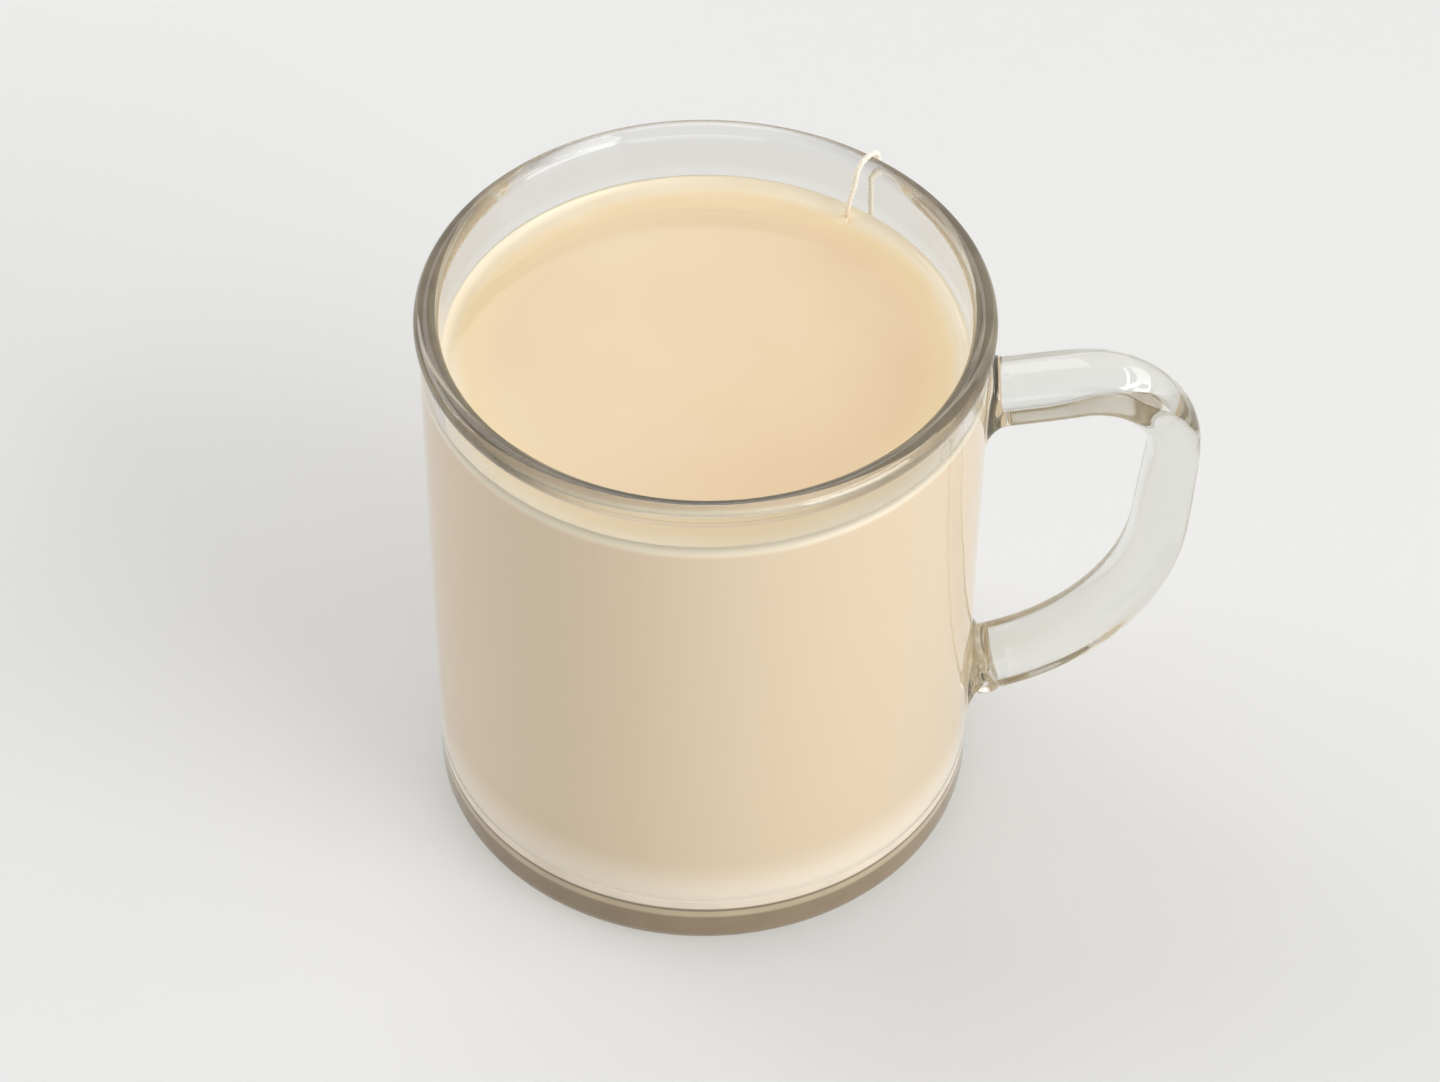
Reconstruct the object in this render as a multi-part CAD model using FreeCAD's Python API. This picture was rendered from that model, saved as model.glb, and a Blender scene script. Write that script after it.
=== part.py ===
import FreeCAD, Part

import math
import os

# A glass mug of milk tea, with the string of its tea bag hung over the rim.
# Millimetres, +Z up. The origin is the centre of the foot ring, on the surface
# that the mug stands on. The handle points along +X.

# ---- Driving dimensions ---------------------------------------------------

# The cup
CUP_HEIGHT = 96.6
WALL_RADIUS_TOP = 42.3       # outside of the wall, just below the rim bead
WALL_RADIUS_BASE = 41.95     # outside of the wall, where the heel begins
WALL_TOP = 3.1               # wall thickness just below the rim bead
WALL_BASE = 3.5              # wall thickness at the floor's corner
RIM_PROUD = 0.6              # how far the rim bead stands out from the wall
RIM_BLEND_RADIUS = 1.2       # the hollow between the rim bead and the wall
FLOOR_THICKNESS = 6.0
FLOOR_CORNER_RADIUS = 5.0    # inside, between the wall and the floor
HEEL_RADIUS = 4.0            # outside, between the wall and the foot
FOOT_RING_WIDTH = 6.0        # the flat ring that the mug stands on
PUNT_DEPTH = 1.4             # how far the middle of the underside is pushed up
PUNT_SLOPE_WIDTH = 3.0       # from the foot ring up to the middle
PUNT_ROUNDING_RADIUS = 2.0   # at both ends of that slope

# The handle, one piece with the cup
UPPER_ROOT_DROP = 17.1       # rim to the middle of the upper root
UPPER_ARM_RISE_DEG = 9.5     # how steeply the upper arm leaves the wall
GRIP_REACH = 28.5            # wall to the middle of the grip, at its furthest
GRIP_LEAN_DEG = 3.7          # the grip comes in towards its lower end
UPPER_BEND_RADIUS = 13.0
LOWER_BEND_RADIUS = 36.0
LOWER_ROOT_HEIGHT = 20.6     # table to the middle of the lower root
LOWER_ARM_SLOPE_DEG = 12.0
HANDLE_WIDTH = 10.4          # across the plane that the handle lies in
UPPER_ROOT_THICKNESS = 9.2   # these four are in that plane
UPPER_BEND_THICKNESS = 7.4
GRIP_THICKNESS = 8.7
LOWER_ROOT_THICKNESS = 9.2
OUTER_POWER = 2.2            # superellipse power of the side away from the cup
INNER_POWER = 3.0            # and of the finger side, which is flatter
ROOT_FILLET_RADIUS = 1.2

# The drink
FILL_DROP = 10.3             # rim to the flat of the drink's surface
MENISCUS_RADIUS = 1.8        # the drink climbs the glass on this curve
MENISCUS_CONTACT_DEG = 30.0  # the angle at which it meets the glass

# The string, and the tag on its end
STRING_DIAMETER = 0.8
TAG_WIDTH = 24.0
TAG_HEIGHT = 27.0
TAG_THICKNESS = 0.9          # two leaves of card with the string between them
TAG_CORNER_CUT = 5.0         # the two upper corners are clipped
TAG_CORNER_RADIUS = 1.0

# The string's route: straight out of the drink, up the inside of the glass,
# over the rim and down the outside. The runs shorten towards the rim, where
# the two bends are as tight as the rim bead itself.
STRING_ROUTE = [
    (20.58, 30.87, 86.3),
    (20.58, 30.87, 88.7),
    (22.44, 31.35, 92.6),
    (23.31, 30.83, 97.15),
    (27.17, 33.91, 97.15),
    (27.34, 33.77, 92.4),
    (27.07, 33.79, 85.0),
    (27.48, 33.46, 75.4),
    (27.07, 33.67, 65.0),
    (27.54, 33.41, 54.4),
    (27.16, 33.53, 45.2),
    (27.16, 33.53, 40.0),
]

# ---- Sizes worked out from the ones above --------------------------------

RIM_HALF = (WALL_TOP + RIM_PROUD) / 2
RIM_CENTRE_RADIUS = WALL_RADIUS_TOP + RIM_PROUD - RIM_HALF
RIM_CENTRE_HEIGHT = CUP_HEIGHT - RIM_HALF
INSIDE_RADIUS_TOP = WALL_RADIUS_TOP - WALL_TOP
INSIDE_RADIUS_BASE = WALL_RADIUS_BASE - WALL_BASE
FLOOR_CORNER_HEIGHT = FLOOR_THICKNESS + FLOOR_CORNER_RADIUS
FLAT_FLOOR_RADIUS = INSIDE_RADIUS_BASE - FLOOR_CORNER_RADIUS
DRINK_LEVEL = CUP_HEIGHT - FILL_DROP
UPPER_ROOT_HEIGHT = CUP_HEIGHT - UPPER_ROOT_DROP

# How the shapes are made, which sets no size of its own
SECTIONS = 26                # cross-sections that the handle is lofted through
POINTS_IN_SECTION = 28
ARM_TAPER_SHARE = 0.4        # of each arm, from its root end, that keeps the root's thickness
BEND_SHARE = 0.45            # of the shorter run beside a corner, that the string's bend takes up
SAME_PLACE = 0.05            # two points closer than this are taken as one


# ---- Outlines ------------------------------------------------------------

def profile_point(radius, height):
    """A point of a turned profile, which is drawn on the side away from the handle."""
    return FreeCAD.Vector(-radius, 0, height)


def line(a, b):
    return Part.LineSegment(a, b).toShape()


def profile_line(radius_a, height_a, radius_b, height_b):
    return line(profile_point(radius_a, height_a), profile_point(radius_b, height_b))


def profile_arc(centre_radius, centre_height, radius, start_deg, end_deg):
    """An arc of a turned profile. An angle of 0 points outwards, and 90 upwards."""
    points = []
    for angle in (start_deg, (start_deg + end_deg) / 2, end_deg):
        a = math.radians(angle)
        points.append(profile_point(centre_radius + radius * math.cos(a),
                                    centre_height + radius * math.sin(a)))
    return Part.Arc(*points).toShape()


def rounded_path(corners, radii):
    """Straight runs from corner to corner, joined by arcs that touch both runs."""
    edges = []
    run_start = corners[0]
    for i, radius in enumerate(radii, start=1):
        back = (corners[i - 1] - corners[i]).normalize()
        ahead = (corners[i + 1] - corners[i]).normalize()
        half_angle = back.getAngle(ahead) / 2
        reach = radius / math.tan(half_angle)
        arc_start = corners[i] + back * reach
        arc_end = corners[i] + ahead * reach
        inwards = (back + ahead).normalize()
        arc_middle = corners[i] + inwards * (radius / math.sin(half_angle) - radius)
        edges.append(line(run_start, arc_start))
        edges.append(Part.Arc(arc_start, arc_middle, arc_end).toShape())
        run_start = arc_end
    edges.append(line(run_start, corners[-1]))
    return Part.Wire(edges)


def outwards(solid):
    """The same solid with its faces pointing outwards."""
    if solid.Volume < 0:
        solid.reverse()
    return solid


def turned(edges):
    """The solid that a closed profile makes when it turns about the cup's axis."""
    face = Part.Face(Part.Wire(edges))
    return outwards(face.revolve(FreeCAD.Vector(0, 0, 0), FreeCAD.Vector(0, 0, 1), 360))


# ---- The cup -------------------------------------------------------------

def inside_radius(height):
    """Radius of the cup's inside wall, above the floor's corner."""
    share = (height - FLOOR_CORNER_HEIGHT) / (RIM_CENTRE_HEIGHT - FLOOR_CORNER_HEIGHT)
    return INSIDE_RADIUS_BASE + share * (INSIDE_RADIUS_TOP - INSIDE_RADIUS_BASE)


def outside_radius(height):
    """Radius of the cup's outside wall, above the heel."""
    share = (height - HEEL_RADIUS) / (RIM_CENTRE_HEIGHT - HEEL_RADIUS)
    return WALL_RADIUS_BASE + share * (WALL_RADIUS_TOP - WALL_RADIUS_BASE)


def mid_wall_radius(height):
    return (inside_radius(height) + outside_radius(height)) / 2


def floor_corner(start_deg, end_deg):
    return profile_arc(FLAT_FLOOR_RADIUS, FLOOR_CORNER_HEIGHT, FLOOR_CORNER_RADIUS, start_deg, end_deg)


def cup():
    """The cup without its handle: one closed profile, turned."""
    # The hollow under the rim bead touches the bead and the wall.
    blend_radius = WALL_RADIUS_TOP + RIM_BLEND_RADIUS
    out = blend_radius - RIM_CENTRE_RADIUS
    down = math.sqrt((RIM_HALF + RIM_BLEND_RADIUS) ** 2 - out ** 2)
    blend_height = RIM_CENTRE_HEIGHT - down
    bead_end_deg = -math.degrees(math.atan2(down, out))

    foot_outer = WALL_RADIUS_BASE - HEEL_RADIUS
    foot_inner = foot_outer - FOOT_RING_WIDTH
    punt_radius = foot_inner - PUNT_SLOPE_WIDTH
    underside = rounded_path([profile_point(0, PUNT_DEPTH), profile_point(punt_radius, PUNT_DEPTH),
                              profile_point(foot_inner, 0), profile_point(foot_outer, 0)],
                             [PUNT_ROUNDING_RADIUS, PUNT_ROUNDING_RADIUS])
    return turned(underside.Edges + [
        profile_arc(foot_outer, HEEL_RADIUS, HEEL_RADIUS, -90, 0),
        profile_line(WALL_RADIUS_BASE, HEEL_RADIUS, WALL_RADIUS_TOP, blend_height),
        profile_arc(blend_radius, blend_height, RIM_BLEND_RADIUS, 180, 180 + bead_end_deg),
        profile_arc(RIM_CENTRE_RADIUS, RIM_CENTRE_HEIGHT, RIM_HALF, bead_end_deg, 180),
        profile_line(INSIDE_RADIUS_TOP, RIM_CENTRE_HEIGHT, INSIDE_RADIUS_BASE, FLOOR_CORNER_HEIGHT),
        floor_corner(0, -90),
        profile_line(FLAT_FLOOR_RADIUS, FLOOR_THICKNESS, 0, FLOOR_THICKNESS),
        profile_line(0, FLOOR_THICKNESS, 0, PUNT_DEPTH),
    ])


# ---- The handle ----------------------------------------------------------

def ray(point, angle_deg):
    """A line in the handle's plane, as a point and a direction."""
    a = math.radians(angle_deg)
    return point, (math.cos(a), math.sin(a))


def crossing(ray_a, ray_b):
    """Where two lines in the handle's plane cross."""
    (ax, az), (adx, adz) = ray_a
    (bx, bz), (bdx, bdz) = ray_b
    along = ((bx - ax) * bdz - (bz - az) * bdx) / (adx * bdz - adz * bdx)
    return (ax + along * adx, az + along * adz)


def handle_path():
    """The handle's middle line: two arms and the grip, joined by two bends."""
    upper_wall = outside_radius(UPPER_ROOT_HEIGHT)
    upper_arm = ray((upper_wall, UPPER_ROOT_HEIGHT), UPPER_ARM_RISE_DEG)
    grip = ray((upper_wall + GRIP_REACH, UPPER_ROOT_HEIGHT - UPPER_BEND_RADIUS), -90 - GRIP_LEAN_DEG)
    lower_arm = ray((outside_radius(LOWER_ROOT_HEIGHT), LOWER_ROOT_HEIGHT), LOWER_ARM_SLOPE_DEG)
    # Both arms start inside the cup, and are trimmed in the middle of its wall.
    inside = ray((INSIDE_RADIUS_BASE - HANDLE_WIDTH / 2, 0), 90)
    corners = [crossing(upper_arm, inside), crossing(upper_arm, grip),
               crossing(grip, lower_arm), crossing(lower_arm, inside)]
    return rounded_path([FreeCAD.Vector(x, 0, z) for x, z in corners],
                        [UPPER_BEND_RADIUS, LOWER_BEND_RADIUS])


def thickness_along(path):
    """The handle's thickness at a share of its length, eased from each named size to the next."""
    upper_arm, upper_bend, grip, lower_bend, lower_arm = [edge.Length for edge in path.Edges]
    stations = [
        (upper_arm * ARM_TAPER_SHARE, UPPER_ROOT_THICKNESS),
        (upper_arm + upper_bend / 2, UPPER_BEND_THICKNESS),
        (upper_arm + upper_bend + grip, GRIP_THICKNESS),
        (path.Length - lower_arm * ARM_TAPER_SHARE, LOWER_ROOT_THICKNESS),
    ]

    def thickness(distance):
        if distance <= stations[0][0]:
            return stations[0][1]
        for (start, first), (end, second) in zip(stations, stations[1:]):
            if distance <= end:
                share = (distance - start) / (end - start)
                return first + (second - first) * (1 - math.cos(math.pi * share)) / 2
        return stations[-1][1]

    return thickness


def handle_section(centre, outward, thickness):
    """A closed cross-section: rounder on the outside than on the finger side."""
    across = FreeCAD.Vector(0, 1, 0)
    points = []
    for i in range(POINTS_IN_SECTION):
        a = 2 * math.pi * i / POINTS_IN_SECTION
        power = OUTER_POWER if math.cos(a) >= 0 else INNER_POWER
        out = math.copysign(abs(math.cos(a)) ** (2 / power), math.cos(a)) * thickness / 2
        side = math.copysign(abs(math.sin(a)) ** (2 / power), math.sin(a)) * HANDLE_WIDTH / 2
        points.append(centre + outward * out + across * side)
    outline = Part.BSplineCurve()
    outline.interpolate(Points=points, PeriodicFlag=True)
    return Part.Wire([outline.toShape()])


def handle():
    """The handle, lofted through cross-sections square to its middle line."""
    path = handle_path()
    thickness = thickness_along(path)
    sections = []
    edges = list(path.Edges)
    for i in range(SECTIONS):
        distance = path.Length * i / (SECTIONS - 1)
        along = distance
        for edge in edges:
            if along <= edge.Length or edge is edges[-1]:
                break
            along -= edge.Length
        parameter = edge.getParameterByLength(min(along, edge.Length))
        tangent = edge.tangentAt(parameter)
        outward = FreeCAD.Vector(-tangent.z, 0, tangent.x)
        sections.append(handle_section(edge.valueAt(parameter), outward, thickness(distance)))
    whole = outwards(Part.makeLoft(sections, True, False))
    core = Part.makeCone(mid_wall_radius(0), mid_wall_radius(CUP_HEIGHT), CUP_HEIGHT)
    return whole.cut(core).Solids[0]


def is_root_edge(edge):
    """Whether an edge is where the handle's surface meets the outside of the wall."""
    for parameter in edge.ParameterRange:
        point = edge.valueAt(parameter)
        if abs(math.hypot(point.x, point.y) - outside_radius(point.z)) > SAME_PLACE:
            return False
    box = edge.BoundBox
    near_handle = box.XMin > 0 and max(-box.YMin, box.YMax) < HANDLE_WIDTH
    return near_handle and box.ZMin > HEEL_RADIUS and box.ZMax < RIM_CENTRE_HEIGHT


def glass_mug():
    """The cup and its handle as one piece of glass."""
    mug = cup().fuse(handle())
    roots = [edge for edge in mug.Edges if is_root_edge(edge)]
    return mug.makeFillet(ROOT_FILLET_RADIUS, roots).Solids[0]


# ---- The drink -----------------------------------------------------------

def milk_tea():
    """The drink: it fills the glass to its level, and climbs the wall a little."""
    climb_deg = 90 - MENISCUS_CONTACT_DEG
    climb = MENISCUS_RADIUS * (1 - math.cos(math.radians(climb_deg)))
    edge_height = DRINK_LEVEL + climb
    edge_radius = inside_radius(edge_height)
    flat_radius = edge_radius - MENISCUS_RADIUS * math.sin(math.radians(climb_deg))
    return turned([
        profile_line(0, FLOOR_THICKNESS, FLAT_FLOOR_RADIUS, FLOOR_THICKNESS),
        floor_corner(-90, 0),
        profile_line(INSIDE_RADIUS_BASE, FLOOR_CORNER_HEIGHT, edge_radius, edge_height),
        profile_arc(flat_radius, DRINK_LEVEL + MENISCUS_RADIUS, MENISCUS_RADIUS, climb_deg - 90, -90),
        profile_line(flat_radius, DRINK_LEVEL, 0, DRINK_LEVEL),
        profile_line(0, DRINK_LEVEL, 0, FLOOR_THICKNESS),
    ])


# ---- The string and its tag ----------------------------------------------

def string_path():
    """Straight runs joined by bends, each as large as its two runs allow."""
    points = [FreeCAD.Vector(*point) for point in STRING_ROUTE]
    radii = []
    for before, here, after in zip(points, points[1:], points[2:]):
        run_in = here - before
        run_out = after - here
        shorter = min(run_in.Length, run_out.Length)
        radii.append(BEND_SHARE * shorter / math.tan(run_in.getAngle(run_out) / 2))
    print("string bend radii, mm:", ", ".join(f"{radius:.1f}" for radius in radii))
    return rounded_path(points, radii)


def bag_string():
    path = string_path()
    start = path.Edges[0]
    ring = Part.Circle(start.valueAt(start.FirstParameter), start.tangentAt(start.FirstParameter),
                       STRING_DIAMETER / 2)
    section = Part.Wire([ring.toShape()])
    solid = outwards(path.makePipeShell([section], True, False))
    area = math.pi * STRING_DIAMETER ** 2 / 4
    print(f"string length {path.Length:.2f} mm, volume {solid.Volume:.3f} mm3,"
          f" section times length {area * path.Length:.3f} mm3")
    return solid


def string_tag():
    """A blank card tag, hung by its upper edge with its back to the wall."""
    half = TAG_WIDTH / 2
    outline = [(-half, -TAG_HEIGHT), (half, -TAG_HEIGHT), (half, -TAG_CORNER_CUT),
               (half - TAG_CORNER_CUT, 0), (TAG_CORNER_CUT - half, 0), (-half, -TAG_CORNER_CUT)]
    corners = [FreeCAD.Vector(x, -TAG_THICKNESS / 2, z) for x, z in outline]
    face = Part.Face(Part.makePolygon(corners + corners[:1]))
    card = face.extrude(FreeCAD.Vector(0, TAG_THICKNESS, 0))
    through = [edge for edge in card.Edges if edge.tangentAt(edge.FirstParameter).y != 0]
    card = card.makeFillet(TAG_CORNER_RADIUS, through)
    end = FreeCAD.Vector(*STRING_ROUTE[-1])
    facing_deg = math.degrees(math.atan2(end.y, end.x)) - 90
    card.Placement = FreeCAD.Placement(end, FreeCAD.Rotation(FreeCAD.Vector(0, 0, 1), facing_deg))
    return outwards(card.Solids[0])


# ---- All pieces ----------------------------------------------------------

def main():
    os.makedirs("parts", exist_ok=True)
    for piece in (glass_mug, milk_tea, bag_string, string_tag):
        shape = piece()
        print(f"{piece.__name__}: {shape.Volume / 1000:.3f} cm3")
        shape.exportStep(f"parts/{piece.__name__}.step")


main()
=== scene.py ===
import logging
import math
from dataclasses import dataclass, field
from enum import Enum
from typing import Callable, ClassVar, Optional, Sequence, Union

import bmesh
import bpy
from mathutils import Matrix, Vector, noise


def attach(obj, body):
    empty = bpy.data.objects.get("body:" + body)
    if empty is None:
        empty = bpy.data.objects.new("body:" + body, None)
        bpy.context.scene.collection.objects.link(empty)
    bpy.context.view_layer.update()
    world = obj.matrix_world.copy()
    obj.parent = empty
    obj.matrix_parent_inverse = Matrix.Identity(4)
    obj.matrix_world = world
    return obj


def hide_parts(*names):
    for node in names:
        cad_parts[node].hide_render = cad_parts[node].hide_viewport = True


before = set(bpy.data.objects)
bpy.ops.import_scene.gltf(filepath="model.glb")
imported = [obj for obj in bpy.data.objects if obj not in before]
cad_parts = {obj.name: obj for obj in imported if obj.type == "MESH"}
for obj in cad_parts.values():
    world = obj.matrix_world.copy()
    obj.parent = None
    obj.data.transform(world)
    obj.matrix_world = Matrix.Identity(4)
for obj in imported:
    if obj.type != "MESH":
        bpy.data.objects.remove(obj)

# The looks of a glass mug of milk tea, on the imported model. Metres, +Z up. The
# origin is the centre of the foot ring and the handle points along +X.

MM = 0.001
LOG = logging.getLogger("milk_tea")

Colour = tuple[float, float, float, float]
Point2 = tuple[float, float]
Point3 = tuple[float, float, float]


class Slot(Enum):
    """The record's material slots."""

    GLASS = "glass"
    TEA = "tea"
    STRING = "string"
    CARD = "card"


class Root(Enum):
    """The two places where the handle leaves the wall."""

    UPPER = 1
    LOWER = -1


# ---- Node trees -----------------------------------------------------------


def maths(operation: str, swapped: bool = False) -> Callable[["Wire", object], "Wire"]:
    """Makes an operator that adds a Math node.

    Args:
        operation: The Math node's operation.
        swapped: Whether the other value comes first.

    Returns:
        The operator.
    """

    def operator(self: "Wire", other: object) -> "Wire":
        """The node's output."""
        first, second = (other, self) if swapped else (self, other)
        return self.graph.node("ShaderNodeMath", {"operation": operation}, {0: first, 1: second})

    return operator


class Wire:
    """A node's output, which works in plain arithmetic."""

    def __init__(self, graph: "Graph", socket: bpy.types.NodeSocket) -> None:
        """Wraps an output of a node in that graph."""
        self.graph = graph
        self.socket = socket

    __add__ = __radd__ = maths("ADD")
    __mul__ = __rmul__ = maths("MULTIPLY")
    __sub__ = maths("SUBTRACT")
    __rsub__ = maths("SUBTRACT", swapped=True)
    __truediv__ = maths("DIVIDE")
    at_least = maths("MAXIMUM")


class Graph:
    """Adds nodes to a shader or geometry tree."""

    def __init__(self, tree: bpy.types.NodeTree) -> None:
        """Wraps a tree, which nodes are added to."""
        self.tree = tree

    def node(
        self,
        kind: str,
        settings: Optional[dict[str, object]] = None,
        inputs: Optional[dict[Union[int, str], object]] = None,
        output: Union[int, str] = 0,
    ) -> Wire:
        """Adds one node.

        Args:
            kind: The node's type.
            settings: Its properties, set first. "stops" gives a ramp's colours.
            inputs: The values or wires of its sockets, by number or name.
            output: The output to return, by number or name.

        Returns:
            The chosen output.
        """
        made = self.tree.nodes.new(kind)
        for name, value in (settings or {}).items():
            if name == "stops":
                self._stops(made.color_ramp, value)
            else:
                setattr(made, name, value)
        for name, value in (inputs or {}).items():
            self.feed(made.inputs[name], value)
        return Wire(self, made.outputs[output] if made.outputs else None)

    def feed(self, socket: bpy.types.NodeSocket, value: object) -> None:
        """Links a wire to a socket, or several to one that joins them, or sets its value.

        Args:
            socket: The input.
            value: A wire, a list of wires, or a plain value.
        """
        for item in value if isinstance(value, list) else [value]:
            if isinstance(item, Wire):
                self.tree.links.new(item.socket, socket)
            else:
                socket.default_value = item

    @staticmethod
    def _stops(ramp: bpy.types.ColorRamp, stops: Sequence[tuple[float, Colour]]) -> None:
        """Gives a ramp its colours.

        Args:
            ramp: The ramp.
            stops: Each place from 0 to 1, with its colour.
        """
        while len(ramp.elements) < len(stops):
            ramp.elements.new(1.0)
        for element, (place, colour) in zip(ramp.elements, stops):
            element.position = place
            element.color = colour

    def place(self) -> Wire:
        """The Object coordinates."""
        return self.node("ShaderNodeTexCoord", output="Object")

    def spot(self, axis: str) -> Wire:
        """One of the Object coordinates, X, Y or Z, in metres."""
        return self.node("ShaderNodeSeparateXYZ", {}, {0: self.place()}, axis)

    def vector(
        self, operation: str, first: object, second: object = (0, 0, 0), output: str = "Vector"
    ) -> Wire:
        """Adds a Vector Math node with that operation, on one vector or two."""
        return self.node("ShaderNodeVectorMath", {"operation": operation}, {0: first, 1: second}, output)

    def off_axis(self) -> Wire:
        """The distance from the mug's axis, in metres."""
        return self.vector("LENGTH", self.vector("MULTIPLY", self.place(), (1, 1, 0)), output="Value")

    def ramp(self, value: Wire, low: float, high: float) -> Wire:
        """Eases from 0, where the value is low, to 1, where it is high."""
        limits = {"Value": value, "From Min": low, "From Max": high}
        return self.node("ShaderNodeMapRange", {"interpolation_type": "SMOOTHSTEP"}, limits)

    def clouds(self, scale: float, detail: float = 3.0, roughness: float = 0.5) -> Wire:
        """Soft noise on the Object coordinates, with that many cells to the metre."""
        look = {"Vector": self.place(), "Scale": scale, "Detail": detail, "Roughness": roughness}
        return self.node("ShaderNodeTexNoise", {}, look, "Fac")

    def blend(self, share: object, first: object, second: object) -> Wire:
        """Mixes two colours, share being how much of the second."""
        return self.node("ShaderNodeMix", {"data_type": "RGBA"}, {"Factor": share, 6: first, 7: second}, 2)

    def relief(self, height: Wire, distance: float) -> Wire:
        """A bumped normal, distance in metres for a height of 1."""
        return self.node("ShaderNodeBump", {}, {"Height": height, "Distance": distance, "Strength": 1.0})

    def facing(self, inputs: Optional[dict[str, object]] = None) -> Wire:
        """0 where the surface, or a given normal, is met head on, and 1 where it is skimmed."""
        return self.node("ShaderNodeLayerWeight", {}, {"Blend": 0.5, **(inputs or {})}, "Facing")

    def ray(self, output: str) -> Wire:
        """One of the Light Path's outputs."""
        return self.node("ShaderNodeLightPath", output=output)

    def principled(self, inputs: dict[str, object]) -> Wire:
        """A Principled shader."""
        return self.node("ShaderNodeBsdfPrincipled", {}, inputs)

    def mixed(self, share: Wire, first: Wire, second: Wire) -> Wire:
        """Mixes two shaders, share being how much of the second."""
        return self.node("ShaderNodeMixShader", {}, {0: share, 1: first, 2: second})


def linear(value: float) -> float:
    """One channel of a screen's colour, from 0 to 1, as linear light."""
    return value / 12.92 if value <= 0.04045 else ((value + 0.055) / 1.055) ** 2.4


def srgb(red: float, green: float, blue: float) -> Colour:
    """A colour given in the 0 to 255 of a screen, as linear light."""
    return (linear(red / 255), linear(green / 255), linear(blue / 255), 1.0)


# ---- Finishes -------------------------------------------------------------


class Finish:
    """A finish, built as a node material."""

    NAME: ClassVar[str]

    def shade(self, g: Graph) -> dict[str, Wire]:
        """Adds the finish's nodes, and returns what goes into the output node, by socket."""
        raise NotImplementedError

    def material(self) -> bpy.types.Material:
        """Builds the finish.

        Returns:
            The material.
        """
        material = bpy.data.materials.new(self.NAME)
        material.use_nodes = True
        material.node_tree.nodes.clear()
        graph = Graph(material.node_tree)
        graph.node("ShaderNodeOutputMaterial", {}, self.shade(graph))
        LOG.info("%s: %d nodes", self.NAME, len(material.node_tree.nodes))
        return material


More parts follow.
